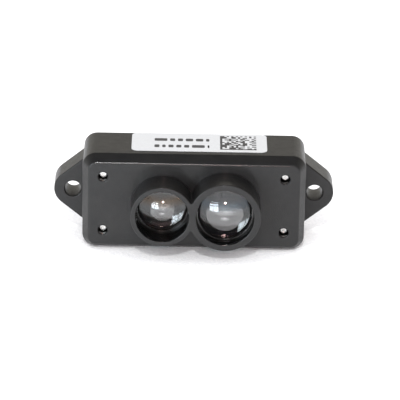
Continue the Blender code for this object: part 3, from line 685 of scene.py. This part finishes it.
def add_front_housing(shell, polished, baffle):
    """The one front moulding: bevelled box, ears, barrels, tubes behind them and screw bosses."""
    hollow_corner_r = 1.0
    overlap = 0.4
    tube_inset = 0.2
    boss_half, boss_corner_r, boss_shift = 1.75, 0.6, (0.2, 0.3)
    screw_lip = 0.24
    rear = [(-depth, inset) for inset, depth in eased_edge(REAR_EDGE_R)]
    sections = [(y, body_outline(inset)) for y, inset in rear + front_section_steps()]
    housing = loft("housing_shell", sections, shell, polished, baffle)
    tools = []

    for side, word in ((-1, "left"), (1, "right")):
        steps = eased_edge(EAR_EDGE_R)
        depths = [(-depth, inset) for inset, depth in steps]
        depths += [(EAR_FRONT + depth, inset) for inset, depth in reversed(steps)]
        ear = loft(f"tool_ear_{word}", [(y, ear_outline(inset, side)) for y, inset in depths])
        combine(housing, tools, ear, "UNION")

    rim = [(RIM + depth, inset) for inset, depth in eased_edge(RIM_EDGE_R)]
    barrel_sections = [(y, barrel_outline(inset)) for y, inset in rim]
    barrel_sections.append((INNER_FRONT - 0.3, barrel_outline(0.0)))
    combine(housing, tools, loft("tool_barrels", barrel_sections), "UNION")

    cavity = rounded_rectangle(HALF_W - SIDE_WALL, HALF_H - SIDE_WALL - 0.05, hollow_corner_r)
    seat = rounded_rectangle(HALF_W - COVER_WALL, HALF_H - COVER_WALL, hollow_corner_r)
    hollow = [(INNER_FRONT, cavity), (COVER_INNER, cavity), (COVER_INNER, seat), (1.0, seat)]
    combine(housing, tools, loft("tool_hollow", hollow), "DIFFERENCE")

    tube = barrel_outline(tube_inset)
    tubes = [(INNER_FRONT - overlap, tube), (TUBE_END, tube)]
    combine(housing, tools, loft("tool_tubes", tubes), "UNION")
    for i, (x, z) in enumerate(SCREW_SPOTS, 1):
        centre = (x + math.copysign(boss_shift[0], x), z + math.copysign(boss_shift[1], z))
        outline = rounded_rectangle(boss_half, boss_half, boss_corner_r, 6, centre)
        boss = [(INNER_FRONT - overlap, outline), (BOSS_END, outline)]
        combine(housing, tools, loft(f"tool_boss_{i}", boss), "UNION")

    emitter_steps = [
        (EMITTER_BORE_R, EMITTER_SEAT),
        (EMITTER_APERTURE_R, EMITTER_SEAT),
        (EMITTER_APERTURE_R, OPTICS_FRONT),
    ]
    receiver_steps = [
        (RECEIVER_BORE_R, RECEIVER_SEAT),
        (RECEIVER_APERTURE_R, RECEIVER_SEAT),
        (RECEIVER_APERTURE_R, FILTER_SEAT),
        (FILTER_POCKET_R, FILTER_SEAT),
        (FILTER_POCKET_R, OPTICS_FRONT),
    ]
    for word, x, steps in (("emitter", emitter_x, emitter_steps), ("receiver", receiver_x, receiver_steps)):
        combine(housing, tools, bore_cutter(f"tool_{word}_bore", x, steps), "DIFFERENCE")
    for i, spot in enumerate(SCREW_SPOTS, 1):
        wide = SCREW_HOLE_R + 0.26
        hole = [(0.0, FRONT - 0.6), (wide, FRONT - 0.6), (wide, FRONT - 0.005)]
        hole += [(SCREW_HOLE_R + run, FRONT + depth) for run, depth in eased_edge(screw_lip)]
        hole += [(SCREW_HOLE_R, COVER_INNER), (0.0, COVER_INNER)]
        combine(housing, tools, turned(f"tool_screw_hole_{i}", hole, spot, 48), "DIFFERENCE")
    for side, word in ((-1, "left"), (1, "right")):
        wide = EAR_HOLE_R + EAR_HOLE_LIP
        lip = eased_edge(EAR_HOLE_LIP, 4)
        hole = [(0.0, 1.0), (wide, 1.0)]
        hole += [(EAR_HOLE_R + run, -depth) for run, depth in lip]
        hole += [(EAR_HOLE_R + run, EAR_FRONT + depth) for run, depth in reversed(lip)]
        hole += [(wide, EAR_FRONT - 1.0), (0.0, EAR_FRONT - 1.0)]
        spot = (side * EAR_X, 0.0)
        combine(housing, tools, turned(f"tool_ear_hole_{word}", hole, spot, 72), "DIFFERENCE")
    settle(housing, tools)
    mark_bores(housing)
    stands_for(housing, "front_housing", slot="shell")


def mark_bores(housing):
    """Lens bores and screw holes get material 1, polished and painted darker than the shell as shade. Tubes
    behind the lens seats get 2, matt and painted near-black as shade.
    """
    outside = 1.0
    slack = 0.1
    past_tube = 0.5
    # materials 1 and 2 are painted darker than the shell: painted shade in the recesses of the same moulding
    spaces = [
        (1, emitter_x, 0.0, EMITTER_BORE_R + RIM_LIP, RIM - outside, EMITTER_SEAT + slack),
        (1, receiver_x, 0.0, RECEIVER_BORE_R + RIM_LIP, RIM - outside, RECEIVER_SEAT + slack),
    ]
    spaces += [(1, x, z, SCREW_HOLE_R + 0.03, FRONT - outside, 0.0) for x, z in SCREW_SPOTS]
    spaces += [
        (2, emitter_x, 0.0, EMITTER_APERTURE_R + 0.05, EMITTER_SEAT - slack, TUBE_END + past_tube),
        (2, receiver_x, 0.0, FILTER_POCKET_R + 0.05, RECEIVER_SEAT - slack, TUBE_END + past_tube),
    ]
    corners = [corner.co / MM for corner in housing.data.vertices]
    for face in housing.data.polygons:
        spots = [corners[i] for i in face.vertices]
        for material_index, x, z, radius, low, high in spaces:
            if all(math.hypot(v.x - x, v.z - z) < radius and low < v.y < high for v in spots):
                face.material_index = material_index


# ---------------- optics
def ball_stretch(centre_y, radius, last_r, steps):
    """A profile along the front of a ball, from its apex out to last_r."""
    end = math.asin(last_r / radius)
    angles = [end * i / steps for i in range(steps + 1)]
    return [(radius * math.sin(a), centre_y - radius * math.cos(a)) for a in angles]


def add_lens(node, x, bore_r, seat, ball_r, flange, boss, glass):
    """A plano-convex lens: ball front, straight flange, and a flat rear on a shallow boss."""
    radial_gap, seat_gap = 0.03, 0.02
    apex = box_mm(node)[0][1]
    flange_r = bore_r - radial_gap
    seat_y = seat - seat_gap
    flange_front = seat_y - flange
    centre = apex + ball_r
    dome_r = math.sqrt(ball_r**2 - (centre - flange_front) ** 2)
    boss_r, boss_y = boss
    ease = 0.04
    profile = ball_stretch(centre, ball_r, dome_r, 48)
    profile += [(flange_r - ease, flange_front), (flange_r, flange_front + ease)]
    profile += [(flange_r, seat_y - ease), (flange_r - ease, seat_y)]
    profile += [(boss_r, seat_y), (boss_r, boss_y - ease), (boss_r - ease, boss_y), (0.0, boss_y)]
    lens = turned(node + "_glass", profile, (x, 0.0), 144, glass, sharp=25.0)
    stands_for(lens, node, slot="lens_glass")
    return flange_front, dome_r


def add_ring(node, x, bore_r, flange_front, dome_r, material):
    """A thin snap ring in front of a lens flange, with a rounded inner edge."""
    gap, dome_gap = 0.02, 0.04
    inner_ease, outer_ease = 0.05, 0.03
    outer = bore_r - gap
    inner = dome_r + dome_gap
    low = flange_front - gap
    high = box_mm(node)[0][1]
    profile = [(outer, low), (inner, low), (inner, high + inner_ease)]
    profile += [(inner + run, high + rise) for rise, run in eased_edge(inner_ease, 4)[1:]]
    profile += [(outer - outer_ease, high), (outer, high + outer_ease)]
    ring = turned(node + "_turned", profile, (x, 0.0), 144, material, closed=True)
    stands_for(ring, node, slot="lens_ring")


# ---------------- rear cover and screws
def add_rear_cover(shell, polished):
    """The flat cover with screw wells, standoffs, the connector window and mould pin marks."""
    fit, corner, edge = 0.05, 0.95, 0.12
    post_r, post_top, post_ease = 1.5, -0.6, 0.08
    well_r, well_floor, well_lip, shank_r = 1.45, -1.1, 0.1, 0.9
    window_half_x, window_half_z, window_corner_r = 4.1, 2.1, 0.4
    mark_r, mark_depth = 1.0, 0.04
    half_a = HALF_W - COVER_WALL - fit
    half_b = HALF_H - COVER_WALL - fit
    steps = [(-depth, inset) for inset, depth in eased_edge(edge)]
    steps.append((COVER_INNER + 0.02, 0.0))
    sections = [(y, rounded_rectangle(half_a - inset, half_b - inset, corner - inset)) for y, inset in steps]
    cover = loft("rear_cover_shell", sections, shell, polished)
    end = box_mm("rear_cover")[0][1]
    tools = []
    for i, spot in enumerate(SCREW_SPOTS, 1):
        post = [(0.0, post_top), (post_r, post_top), (post_r, end + post_ease)]
        post += [(post_r - post_ease, end), (0.0, end)]
        combine(cover, tools, turned(f"tool_standoff_{i}", post, spot, 64), "UNION")
    for i, spot in enumerate(SCREW_SPOTS, 1):
        well = [(0.0, 1.0), (well_r + well_lip, 1.0)]
        well += [(well_r + run, -depth) for run, depth in eased_edge(well_lip)]
        well += [(well_r, well_floor), (shank_r, well_floor), (shank_r, -3.0), (0.0, -3.0)]
        combine(cover, tools, turned(f"tool_well_{i}", well, spot, 64), "DIFFERENCE")
    spot = (middle_mm("connector_housing")[0], 0.0)
    steps = [(1.0, edge)] + [(-depth, run) for run, depth in eased_edge(edge)] + [(-2.0, 0.0)]
    window = []
    for y, run in steps:
        halves = (window_half_x + run, window_half_z + run)
        window.append((y, rounded_rectangle(*halves, window_corner_r + run, 8, spot)))
    combine(cover, tools, loft("tool_window", window), "DIFFERENCE")
    for i, x in enumerate((1.5, 11.0), 1):
        for j, z in enumerate((-3.6, 3.6), 1):
            mark = [(0.0, 0.5), (mark_r, 0.5), (mark_r, -mark_depth), (0.0, -mark_depth)]
            combine(cover, tools, turned(f"tool_pin_mark_{i}_{j}", mark, (x, z), 48), "DIFFERENCE")
    settle(cover, tools)
    stands_for(cover, "rear_cover", slot="shell")


def cross_outline(reach, half):
    """The outline of a cross recess with arms of the given reach and half width."""
    corners = [(reach, -half), (reach, half), (half, half)]
    points = []
    for turn in range(4):
        c = round(math.cos(turn * math.pi / 2))
        s = round(math.sin(turn * math.pi / 2))
        points += [(a * c - b * s, a * s + b * c) for a, b in corners]
    return points


def screw_radius(y, angle, root, crest, pitch):
    """Thread flank: a rounded ridge that winds once round for each pitch."""
    phase = (y / pitch - angle / math.tau) % 1.0
    ridge = max(0.0, math.cos(math.tau * (phase - 0.5))) ** 1.5
    return root + (crest - root) * ridge


def add_screw(index, spot, steel, rng):
    """A pan-head thread-forming screw, head at the rear, whose domed tip shows in the front hole."""
    segments = 40
    tip = box_mm(SCREWS[index])[0][1]
    crest, root, pitch = 0.64, 0.52, 0.5
    thread_top, thread_step, thread_fade = -1.6, 0.05, 0.4
    head = [
        (0.0, -0.3), (0.35, -0.305), (0.7, -0.33), (0.92, -0.37), (1.1, -0.43), (1.24, -0.52), (1.33, -0.64),
        (1.38, -0.8), (1.38, -1.03), (1.33, -1.08), (crest, -1.08), (crest, thread_top),
    ]
    rows = [(radius, y, False) for radius, y in head]
    y = thread_top - thread_step
    while y > tip + 0.45:
        rows.append((crest, y, True))
        y -= thread_step
    dimple = rng.uniform(0.05, 0.11)
    ends = [
        (0.55, tip + 0.3), (0.55, tip + 0.1), (0.52, tip + 0.04), (0.46, tip + 0.01), (0.34, tip),
        (0.2, tip + 0.01), (0.14, tip + dimple), (0.0, tip + dimple + 0.03),
    ]
    rows += [(radius, y, False) for radius, y in ends]
    builder = bmesh.new()
    rings = []
    for radius, y, threaded in rows:
        ring = []
        for i in range(segments if radius > 0 else 1):
            angle = math.tau * i / segments
            r = radius
            if threaded:
                fade = min(1.0, (thread_top - y) / thread_fade, (y - tip - 0.35) / thread_fade)
                r = screw_radius(y, angle, root, crest, pitch) * fade + root * (1 - fade)
            ring.append((r * math.cos(angle), y, r * math.sin(angle)))
        rings.append(ring_of(builder, ring))
    skin(builder, rings, segments)
    screw = new_object(f"screw_{index + 1}_steel", builder, steel, sharp=40.0)
    recess = [(0.1, 0.78, 0.18), (-0.3, 0.75, 0.17), (-0.8, 0.42, 0.09)]
    cross = loft("tool_cross", [(y, cross_outline(reach, half)) for y, reach, half in recess])
    tools = []
    combine(screw, tools, cross, "DIFFERENCE")
    settle(screw, tools, sharp=35.0)
    turn = Matrix.Rotation(0.4 + 0.55 * index, 4, "Y")
    lean = Matrix.Rotation(math.radians(rng.uniform(-1.2, 1.2)), 4, "X")
    screw.data.transform(Matrix.Translation(metres(spot[0], 0.0, spot[1])) @ lean @ turn)
    stands_for(screw, SCREWS[index], slot="screw_steel")


# ---------------- connector
def add_pins(gold):
    """Square pins with tapered tips, bent to feet on the board."""
    bend, taper, tip_part = 0.2, 0.25, 0.45
    for i in range(1, 5):
        node = f"connector_pin_{i}"
        low, high = box_mm(node)
        left, right = low[0], high[0]
        x = (left + right) / 2
        half = (right - left) / 2
        foot, end_z, tip_y = low[1], low[2], high[1]
        rings = []
        for z in (end_z, end_z + 0.06, -half - 0.12):
            rings.append([(left, foot, z), (right, foot, z), (right, foot + bend, z), (left, foot + bend, z)])
        inside = foot + bend + 0.12
        rings.append([(left, foot, half), (right, foot, half), (right, inside, -half), (left, inside, -half)])
        for y, size in ((foot + 0.5, half), (tip_y - taper, half), (tip_y, half * tip_part)):
            a, b = x - size, x + size
            rings.append([(a, y, size), (b, y, size), (b, y, -size), (a, y, -size)])
        builder = bmesh.new()
        made = [ring_of(builder, ring) for ring in rings]
        skin(builder, made, 4)
        builder.faces.new(made[0])
        builder.faces.new(made[-1][::-1])
        pin = new_object(f"pin_{i}_gold", builder, gold)
        soften(pin, 0.03)
        stands_for(pin, node, slot="gold_contact")


def soften(thing, width, segments=3):
    """Rounds the edges of a plain solid."""
    weld = thing.modifiers.new("weld", "WELD")
    weld.merge_threshold = 0.000001
    bevel = thing.modifiers.new("edges", "BEVEL")
    bevel.width = width * MM
    bevel.segments = segments
    bevel.limit_method = "ANGLE"
    bevel.angle_limit = math.radians(40)
    even = thing.modifiers.new("even_shading", "WEIGHTED_NORMAL")
    even.keep_sharp = True


# ---------------- label
def flat_plate(name, outline, low, high, ease, material):
    """A thin horizontal plate. The outline is (x, y) in millimetres, counter-clockwise."""
    builder = bmesh.new()
    middle = Vector((sum(p[0] for p in outline), sum(p[1] for p in outline))) / len(outline)
    rings = []
    for z, inset in ((low, 0.0), (high - ease, 0.0), (high, ease)):
        ring = []
        for x, y in outline:
            away = Vector((x, y)) - middle
            pulled = away - away.normalized() * inset
            ring.append((middle.x + pulled.x, middle.y + pulled.y, z))
        rings.append(ring_of(builder, ring))
    skin(builder, rings, len(outline))
    builder.faces.new(rings[0][::-1])
    builder.faces.new(rings[-1])
    return new_object(name, builder, material)


def code_block(rng, cells):
    """Cells of a made-up square code: a solid edge on two sides, a dotted edge on the others."""
    filled = set()
    for i in range(cells):
        for j in range(cells):
            if i == 0 or j == 0:
                filled.add((i, j))
            elif i == cells - 1 or j == cells - 1:
                if (i + j) % 2 == 0:
                    filled.add((i, j))
            elif rng.random() < 0.5:
                filled.add((i, j))
    return filled


def add_print(name, outlines, low, high, ink):
    """Printed shapes as closed blocks that stand a hair proud of the film."""
    builder = bmesh.new()
    for outline in outlines:
        rings = [ring_of(builder, [(x, y, z) for x, y in outline]) for z in (low, high)]
        skin(builder, rings, len(outline))
        builder.faces.new(rings[0][::-1])
        builder.faces.new(rings[1])
    return new_object(name, builder, ink)


def add_label(film, ink, rng):
    """White film with rounded corners, a made-up code block and two rows of plain dashes."""
    corner_r, film_ease, ink_height = 0.9, 0.02, 0.006
    cells, code_size, code_left, code_front = 16, 5.4, 3.8, -6.45
    dash_left, dash_right, dash_half, dash_corner_r, dash_gap = -6.0, 2.1, 0.52, 0.2, 0.42
    low, high = box_mm("label")
    centre = ((low[0] + high[0]) / 2, (low[1] + high[1]) / 2)
    outline = rounded_rectangle((high[0] - low[0]) / 2, (high[1] - low[1]) / 2, corner_r, 12, centre)
    film_top = high[2] - ink_height
    ink_low, ink_top = film_top - 0.004, high[2] - 0.001
    sheet = flat_plate("label_film", outline, low[2], film_top, film_ease, film)
    stands_for(sheet, "label", slot="label_film")

    cell = code_size / cells
    blocks = []
    filled = code_block(rng, cells)
    for j in range(cells):
        front = code_front + j * cell
        rear = front + cell * 0.97
        i = 0
        while i < cells:
            if (i, j) in filled:
                start = i
                while (i, j) in filled:
                    i += 1
                left, right = code_left + start * cell, code_left + i * cell
                blocks.append([(left, front), (right, front), (right, rear), (left, rear)])
            i += 1
    code = add_print("label_code_print", blocks, ink_low, ink_top, ink)
    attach(code, "root")

    dashes = []
    for row in (-5.35, -2.85):
        x = dash_left
        while x < dash_right:
            wide = min(rng.choice((0.5, 0.75, 0.75, 1.1, 1.9)), dash_right + 0.1 - x)
            dashes.append(rounded_rectangle(wide / 2, dash_half, dash_corner_r, 5, (x + wide / 2, row)))
            x += wide + dash_gap
    lines = add_print("label_line_print", dashes, ink_low, ink_top, ink)
    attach(lines, "root")


# ---------------- carried-over pieces
def paint(node, material, edge=0.04):
    """Gives a CAD piece its material and, unless edge is 0, softened edges."""
    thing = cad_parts[node]
    thing.data.materials.clear()
    thing.data.materials.append(material)
    if edge:
        soften(thing, edge, 2)


def board_material(name, mask_dark, mask_light, copper):
    """Solder mask over tracks: straight-sided islands of copper show as a paler, raised tone."""
    material, tree, shader = new_material(name)
    cells = tree.nodes.new("ShaderNodeTexVoronoi")
    cells.feature = "DISTANCE_TO_EDGE"
    cells.inputs["Scale"].default_value = 900.0
    tree.links.new(object_point(tree), cells.inputs["Vector"])
    track = spread(tree, cells.outputs["Distance"], 1.0, 0.0, 0.06, 0.09)
    mottle = noise(tree, 1500.0)
    base = ramp(tree, mottle, [(0.3, mask_dark), (0.7, mask_light)])
    tree.links.new(blend(tree, track, base, copper), shader.inputs["Base Color"])
    tree.links.new(spread(tree, mottle, 0.25, 0.45), shader.inputs["Roughness"])
    bump(tree, shader, track, 0.00003, 0.5)
    return material


def capacitor_material():
    """Tan ceramic between two tinned ends."""
    material, tree, shader = new_material("capacitor_tan_and_tin")
    place = tree.nodes.new("ShaderNodeTexCoord").outputs["Generated"]
    split = tree.nodes.new("ShaderNodeSeparateXYZ")
    tree.links.new(place, split.inputs[0])
    away = maths(tree, "ABSOLUTE", maths(tree, "SUBTRACT", split.outputs["X"], 0.5))
    wobble = maths(tree, "MULTIPLY", noise(tree, 3000.0), 0.05)
    tin = spread(tree, maths(tree, "ADD", away, wobble), 0.0, 1.0, 0.31, 0.33)
    grain = noise(tree, 5000.0)
    body = ramp(tree, grain, [(0.3, (0.36, 0.25, 0.14)), (0.7, (0.5, 0.37, 0.22))])
    tree.links.new(blend(tree, tin, body, (0.72, 0.71, 0.69)), shader.inputs["Base Color"])
    tree.links.new(tin, shader.inputs["Metallic"])
    tree.links.new(spread(tree, grain, 0.3, 0.5), shader.inputs["Roughness"])
    bump(tree, shader, grain, 0.00001, 0.5)
    return material


def foam_material():
    """Soft black foam with open cells."""
    material, tree, shader = new_material("seal_foam_cells")
    cells = tree.nodes.new("ShaderNodeTexVoronoi")
    cells.inputs["Scale"].default_value = 7000.0
    tree.links.new(object_point(tree), cells.inputs["Vector"])
    tone = ramp(tree, cells.outputs["Distance"], [(0.1, (0.008, 0.008, 0.008)), (0.7, (0.03, 0.03, 0.03))])
    tree.links.new(tone, shader.inputs["Base Color"])
    tree.links.new(spread(tree, cells.outputs["Distance"], 0.95, 0.8), shader.inputs["Roughness"])
    bump(tree, shader, cells.outputs["Distance"], 0.00005, 0.8)
    return material


def paint_inner_pieces(glass):
    """Materials for the pieces whose CAD meshes are kept, and the new connector pins."""
    chip = grained_plastic(
        "chip_compound", (0.012, 0.012, 0.013), (0.028, 0.028, 0.03), (0.5, 0.7), 9000.0, 0.00002)
    nylon = grained_plastic(
        "connector_nylon", (0.62, 0.58, 0.48), (0.74, 0.7, 0.6), (0.35, 0.5), 5000.0, 0.00001)
    ceramic = grained_plastic(
        "led_ceramic_grey", (0.03, 0.03, 0.032), (0.06, 0.06, 0.06), (0.4, 0.6), 8000.0, 0.00001)
    pad = grained_plastic(
        "gap_pad_silicone", (0.28, 0.35, 0.43), (0.4, 0.47, 0.55), (0.6, 0.8), 4000.0, 0.00003)
    can = worn_metal("plated_can", (0.6, 0.59, 0.56), (0.8, 0.79, 0.76), (0.2, 0.35), (1, 1, 6))
    gold = worn_metal("contact_gold", (0.75, 0.5, 0.18), (0.92, 0.66, 0.3), (0.18, 0.32))
    green = board_material("green_board", (0.005, 0.05, 0.022), (0.01, 0.075, 0.035), (0.03, 0.14, 0.06))
    black = board_material("black_board", (0.004,) * 3, (0.008,) * 3, (0.012,) * 3)
    tan = capacitor_material()
    foam = foam_material()
    coated = smooth_gloss("filter_coating", (0.004, 0.003, 0.006), (0.008, 0.006, 0.011), (0.03, 0.08))
    for node in ("led_driver", "microcontroller", "flash_memory", "voltage_regulator", "power_inductor",
                 "protection_diode", "ferrite_bead", "sensor_package"):
        paint(node, chip)
    for node in ("board_plug", "board_socket", "connector_housing"):
        paint(node, nylon, 0.06)
    for node in ("storage_capacitor_1", "storage_capacitor_2", "filter_capacitor_1", "filter_capacitor_2",
                 "filter_capacitor_3"):
        paint(node, tan)
    paint("emitter_base", ceramic, 0.05)
    paint("emitter_die", gold, 0.01)
    paint("emitter_dome", glass, 0.0)
    paint("gap_pad", pad, 0.1)
    paint("crystal", can, 0.1)
    paint("controller_board", green, 0.03)
    paint("optics_board", black, 0.03)
    paint("emitter_seal", foam, 0.05)
    paint("receiver_seal", foam, 0.05)
    paint("receiver_filter", coated, 0.06)
    paint("sensor_window", coated, 0.03)
    add_pins(gold)


def label_film_material():
    """White printed film with a faint fibre."""
    material, tree, shader = new_material("label_white_film")
    fibre = noise(tree, 2500.0, 4.0, 0.6)
    tone_and_sheen(tree, shader, fibre, (0.49, 0.5, 0.51), (0.55, 0.56, 0.57), (0.4, 0.55))
    bump(tree, shader, fibre, 0.000005, 0.4)
    return material


def ink_material():
    """Dark grey thermal print, slightly uneven."""
    material, tree, shader = new_material("label_ink")
    grain = noise(tree, 9000.0, 2.0, 0.6)
    tone = ramp(tree, grain, [(0.3, (0.02, 0.02, 0.022)), (0.75, (0.06, 0.06, 0.065))])
    tree.links.new(tone, shader.inputs["Base Color"])
    tree.links.new(spread(tree, grain, 0.35, 0.55), shader.inputs["Roughness"])
    bump(tree, shader, grain, 0.000003, 0.4)
    return material


def coated_glass(name, painted_glow_tint):
    """Lens glass with an infrared coating, which mirrors more visible light than bare glass does.

    A band across the upper part of the lens is painted with a glow tint: a painted reflection, warm on the
    emitter and blue on the receiver."""
    clear = (0.97, 0.985, 0.99)
    material = clear_glass(name, clear)
    tree = material.node_tree
    shader = tree.nodes["Principled BSDF"]
    split = tree.nodes.new("ShaderNodeSeparateXYZ")
    tree.links.new(object_point(tree), split.inputs[0])
    # painted reflection: a tinted band across the upper part of the lens, set by height alone
    up = spread(tree, split.outputs["Z"], 0.0, 1.0, 0.0006, 0.0026)
    tree.links.new(ramp(tree, up, [(0.0, clear), (0.6, painted_glow_tint), (1.0, clear)]), shader.inputs["Base Color"])
    shader.inputs["Coat Weight"].default_value = 0.7
    shader.inputs["Coat IOR"].default_value = 1.8
    shader.inputs["Coat Roughness"].default_value = 0.07
    return material


def main():
    rng = random.Random(11)
    shell = grained_plastic(
        "shell_black", (0.0055, 0.0055, 0.006), (0.009, 0.0088, 0.0085), (0.5, 0.62), 7000.0, 0.00008, 0.3)
    # painted shade: bores and screw holes get a darker colour than the moulding outside; the polish itself is
    # real
    polished = smooth_gloss("bore_black", (0.0025,) * 3, (0.005,) * 3, (0.08, 0.16))
    # painted shade: the tubes behind the lenses get a near-black colour, far darker than the moulding
    # outside; the matt finish is real
    baffle = grained_plastic(
        "tube_baffle_black", (0.001,) * 3, (0.002,) * 3, (0.85, 0.95), 7000.0, 0.00006, specular=0.1)
    ring_black = smooth_gloss("ring_black", (0.006, 0.006, 0.006), (0.012, 0.011, 0.01), (0.15, 0.3))
    steel = worn_metal("zinc_plated_steel", (0.7, 0.69, 0.66), (0.93, 0.92, 0.9), (0.22, 0.42))
    # the second colour of each lens is the painted glow tint of its upper band, a painted reflection
    emitter_glass = coated_glass("emitter_coated_glass", (1.0, 0.62, 0.38))
    receiver_glass = coated_glass("receiver_coated_glass", (0.6, 0.8, 1.0))
    inner_glass = clear_glass("dome_resin", (0.95, 0.95, 0.95), 0.02)
    add_camera()
    add_floor()
    add_front_housing(shell, polished, baffle)
    add_rear_cover(shell, polished)
    for index, spot in enumerate(SCREW_SPOTS):
        add_screw(index, spot, steel, rng)
    flange, dome = add_lens("emitter_lens", emitter_x, EMITTER_BORE_R, EMITTER_SEAT, EMITTER_BALL_R,
                            EMITTER_FLANGE, EMITTER_BOSS, emitter_glass)
    add_ring("emitter_lens_ring", emitter_x, EMITTER_BORE_R, flange, dome, ring_black)
    flange, dome = add_lens("receiver_lens", receiver_x, RECEIVER_BORE_R, RECEIVER_SEAT, RECEIVER_BALL_R,
                            RECEIVER_FLANGE, RECEIVER_BOSS, receiver_glass)
    add_ring("receiver_lens_ring", receiver_x, RECEIVER_BORE_R, flange, dome, ring_black)
    paint_inner_pieces(inner_glass)
    add_lights()
    glow = glow_material()
    add_floor_glow("emitter_lens_glass", emitter_x, glow)
    add_floor_glow("receiver_lens_glass", receiver_x, glow)
    add_label(label_film_material(), ink_material(), rng)
    bpy.context.scene.view_settings.view_transform = "Standard"


main()
